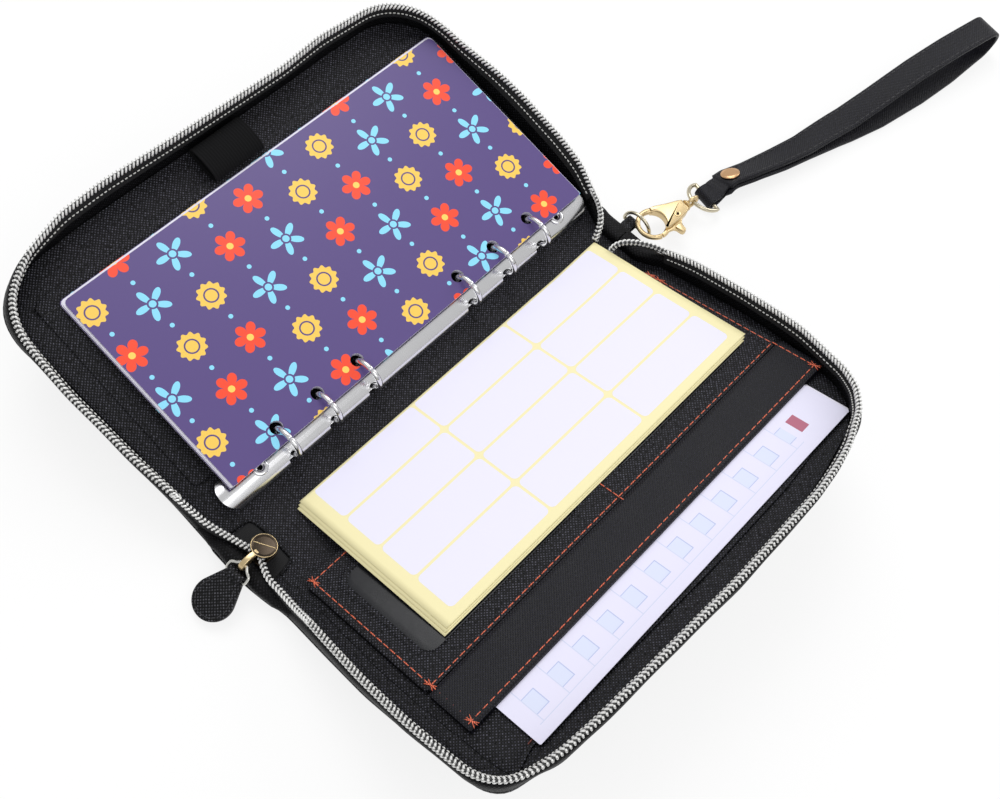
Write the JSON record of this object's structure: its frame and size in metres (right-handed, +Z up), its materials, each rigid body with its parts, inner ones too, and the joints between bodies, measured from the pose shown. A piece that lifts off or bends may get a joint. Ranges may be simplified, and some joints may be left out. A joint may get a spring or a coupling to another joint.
{
  "type": "zip-around binder wallet",
  "caption": "Open zip-around wallet with a ring binder of pages on one cover, pockets and papers on the other, and a clip-on wrist strap at the spine's end.",
  "frame": {"origin": "centre of the spine's underside, on the surface that the wallet lies on", "axes": "+X across the spine towards the pocket cover, +Y along the spine towards the strap, +Z up"},
  "size_m": [0.2556, 0.4246, 0.0506],
  "materials": {
    "outer_leather": "cross-grain, satin",
    "smooth_leather": "smooth, satin",
    "lining": "woven, matt",
    "board": "matt",
    "zip_tape": "woven, matt",
    "zip_teeth": "silver grey",
    "bronze": "dark bronze plated",
    "chrome": "polished",
    "pale_gold": "pale gold plated",
    "copper_gold": "copper gold plated",
    "printed_card": "printed, silk",
    "paper": "uncoated",
    "label_paper": "sticker sheet",
    "vinyl": "smoky clear vinyl",
    "elastic": "woven elastic"
  },
  "bodies": {
    "spine": {"spine_leather": "outer_leather", "spine_board": "board", "spine_lining": "lining", "lower_end_gusset": "outer_leather", "upper_end_gusset": "outer_leather", "lower_zip_tail": "zip_teeth", "upper_zip_tail": "zip_teeth", "zip_slider": "bronze", "ring_tab": "outer_leather"},
    "left_cover": {"left_leather": "outer_leather", "left_board": "board", "left_lining": "lining", "left_side_wall": "outer_leather", "left_zip_tape": "zip_tape", "left_zip_teeth": "zip_teeth", "slip_pocket": "outer_leather", "pen_loop": "elastic", "ring_housing": "chrome", "binder_rivet_1": "chrome", "binder_rivet_2": "chrome"},
    "right_cover": {"right_leather": "outer_leather", "right_board": "board", "right_lining": "lining", "right_side_wall": "outer_leather", "right_zip_tape": "zip_tape", "right_zip_teeth": "zip_teeth", "back_pocket": "outer_leather", "card_pocket": "outer_leather", "window_1": "vinyl", "window_2": "vinyl", "strip_pocket": "smooth_leather", "label_sheet_1": "label_paper", "label_sheet_2": "label_paper", "label_sheet_3": "label_paper"},
    "page_stack": {"front_page": "printed_card", "second_page": "paper", "third_page": "paper", "back_page": "printed_card"},
    "inner_leaf": {"ring_leaf_inner": "chrome"},
    "outer_leaf": {"ring_leaf_outer": "chrome"},
    "budget_sheets": {"budget_sheet_1": "paper", "budget_sheet_2": "paper", "budget_sheet_3": "paper"},
    "slider_link": {"pull_link": "bronze"},
    "slider_pull": {"leather_pull": "outer_leather"},
    "case_ring": {"case_ring": "pale_gold"},
    "clasp": {"clasp_hook": "pale_gold", "trigger_pin": "pale_gold"},
    "trigger": {"clasp_trigger": "pale_gold"},
    "swivel": {"clasp_swivel": "pale_gold"},
    "strap_ring": {"strap_ring": "pale_gold"},
    "strap": {"strap_loop": "smooth_leather", "strap_rivet": "copper_gold"}
  },
  "joints": [
    {"name": "left_fold", "type": "hinge", "parent": "spine", "child": "left_cover", "pos_m": [-0.0145, 0, 0], "axis": [0, 1, 0], "range_deg": [-16, 74], "deforming": ["label_sheet_1", "label_sheet_2", "label_sheet_3"]},
    {"name": "right_fold", "type": "hinge", "parent": "spine", "child": "right_cover", "pos_m": [0.0145, 0, 0], "axis": [0, -1, 0], "range_deg": [-18, 72], "deforming": ["label_sheet_1", "label_sheet_2", "label_sheet_3"]},
    {"name": "page_turn", "type": "hinge", "parent": "left_cover", "child": "page_stack", "pos_m": [-0.0217, 0.005, 0.01408], "axis": [0, -1, 0], "range_deg": [-142, 0]},
    {"name": "inner_leaf_turn", "type": "hinge", "parent": "left_cover", "child": "inner_leaf", "pos_m": [-0.01914, 0.005, 0.00669], "axis": [0, -1, 0], "range_deg": [-12, 0], "stiffness_Nm_per_rad": 0.06, "springref_deg": 2.86},
    {"name": "outer_leaf_turn", "type": "hinge", "parent": "left_cover", "child": "outer_leaf", "pos_m": [-0.02779, 0.005, 0.00917], "axis": [0, -1, 0], "range_deg": [0, 12]},
    {"name": "budget_slide", "type": "slide", "parent": "right_cover", "child": "budget_sheets", "axis": [0.9511, 0, 0.309], "range_m": [-0.005, 0.012]},
    {"name": "link_swing", "type": "hinge", "parent": "spine", "child": "slider_link", "pos_m": [0, -0.0978, 0.01095], "axis": [1, 0, 0], "range_deg": [-40, 5]},
    {"name": "pull_swing", "type": "hinge", "parent": "slider_link", "child": "slider_pull", "pos_m": [0, -0.10204, 0.0083], "axis": [1, 0, 0], "range_deg": [-60, 40]},
    {"name": "case_ring_swing", "type": "hinge", "parent": "spine", "child": "case_ring", "pos_m": [0, 0.106, 0.003], "axis": [1, 0, 0], "range_deg": [-60, 15]},
    {"name": "clasp_yaw", "type": "hinge", "parent": "case_ring", "child": "clasp", "pos_m": [0.0057, 0.106, 0.0066], "axis": [0, 0, 1], "range_deg": [-25, 25]},
    {"name": "trigger_turn", "type": "hinge", "parent": "clasp", "child": "trigger", "pos_m": [0.00891, 0.11951, 0.0066], "axis": [0, 0, -1], "range_deg": [0, 22], "stiffness_Nm_per_rad": 0.008, "springref_deg": -11.46},
    {"name": "swivel_spin", "type": "hinge", "parent": "clasp", "child": "swivel", "pos_m": [0.0072, 0.12228, 0.0066], "axis": [0.1857, 0.9826, 0], "continuous": true},
    {"name": "strap_ring_swing", "type": "hinge", "parent": "swivel", "child": "strap_ring", "pos_m": [0.00868, 0.13014, 0.0066], "axis": [-0.9826, 0.1857, 0], "range_deg": [-50, 50]},
    {"name": "strap_swing", "type": "hinge", "parent": "strap_ring", "child": "strap", "pos_m": [0.01023, 0.13832, 0.0032], "axis": [0.9826, -0.1857, 0], "range_deg": [-45, 45]}
  ],
  "couplings": [
    {"joint": "outer_leaf_turn", "follows": "inner_leaf_turn", "ratio": -1}
  ]
}
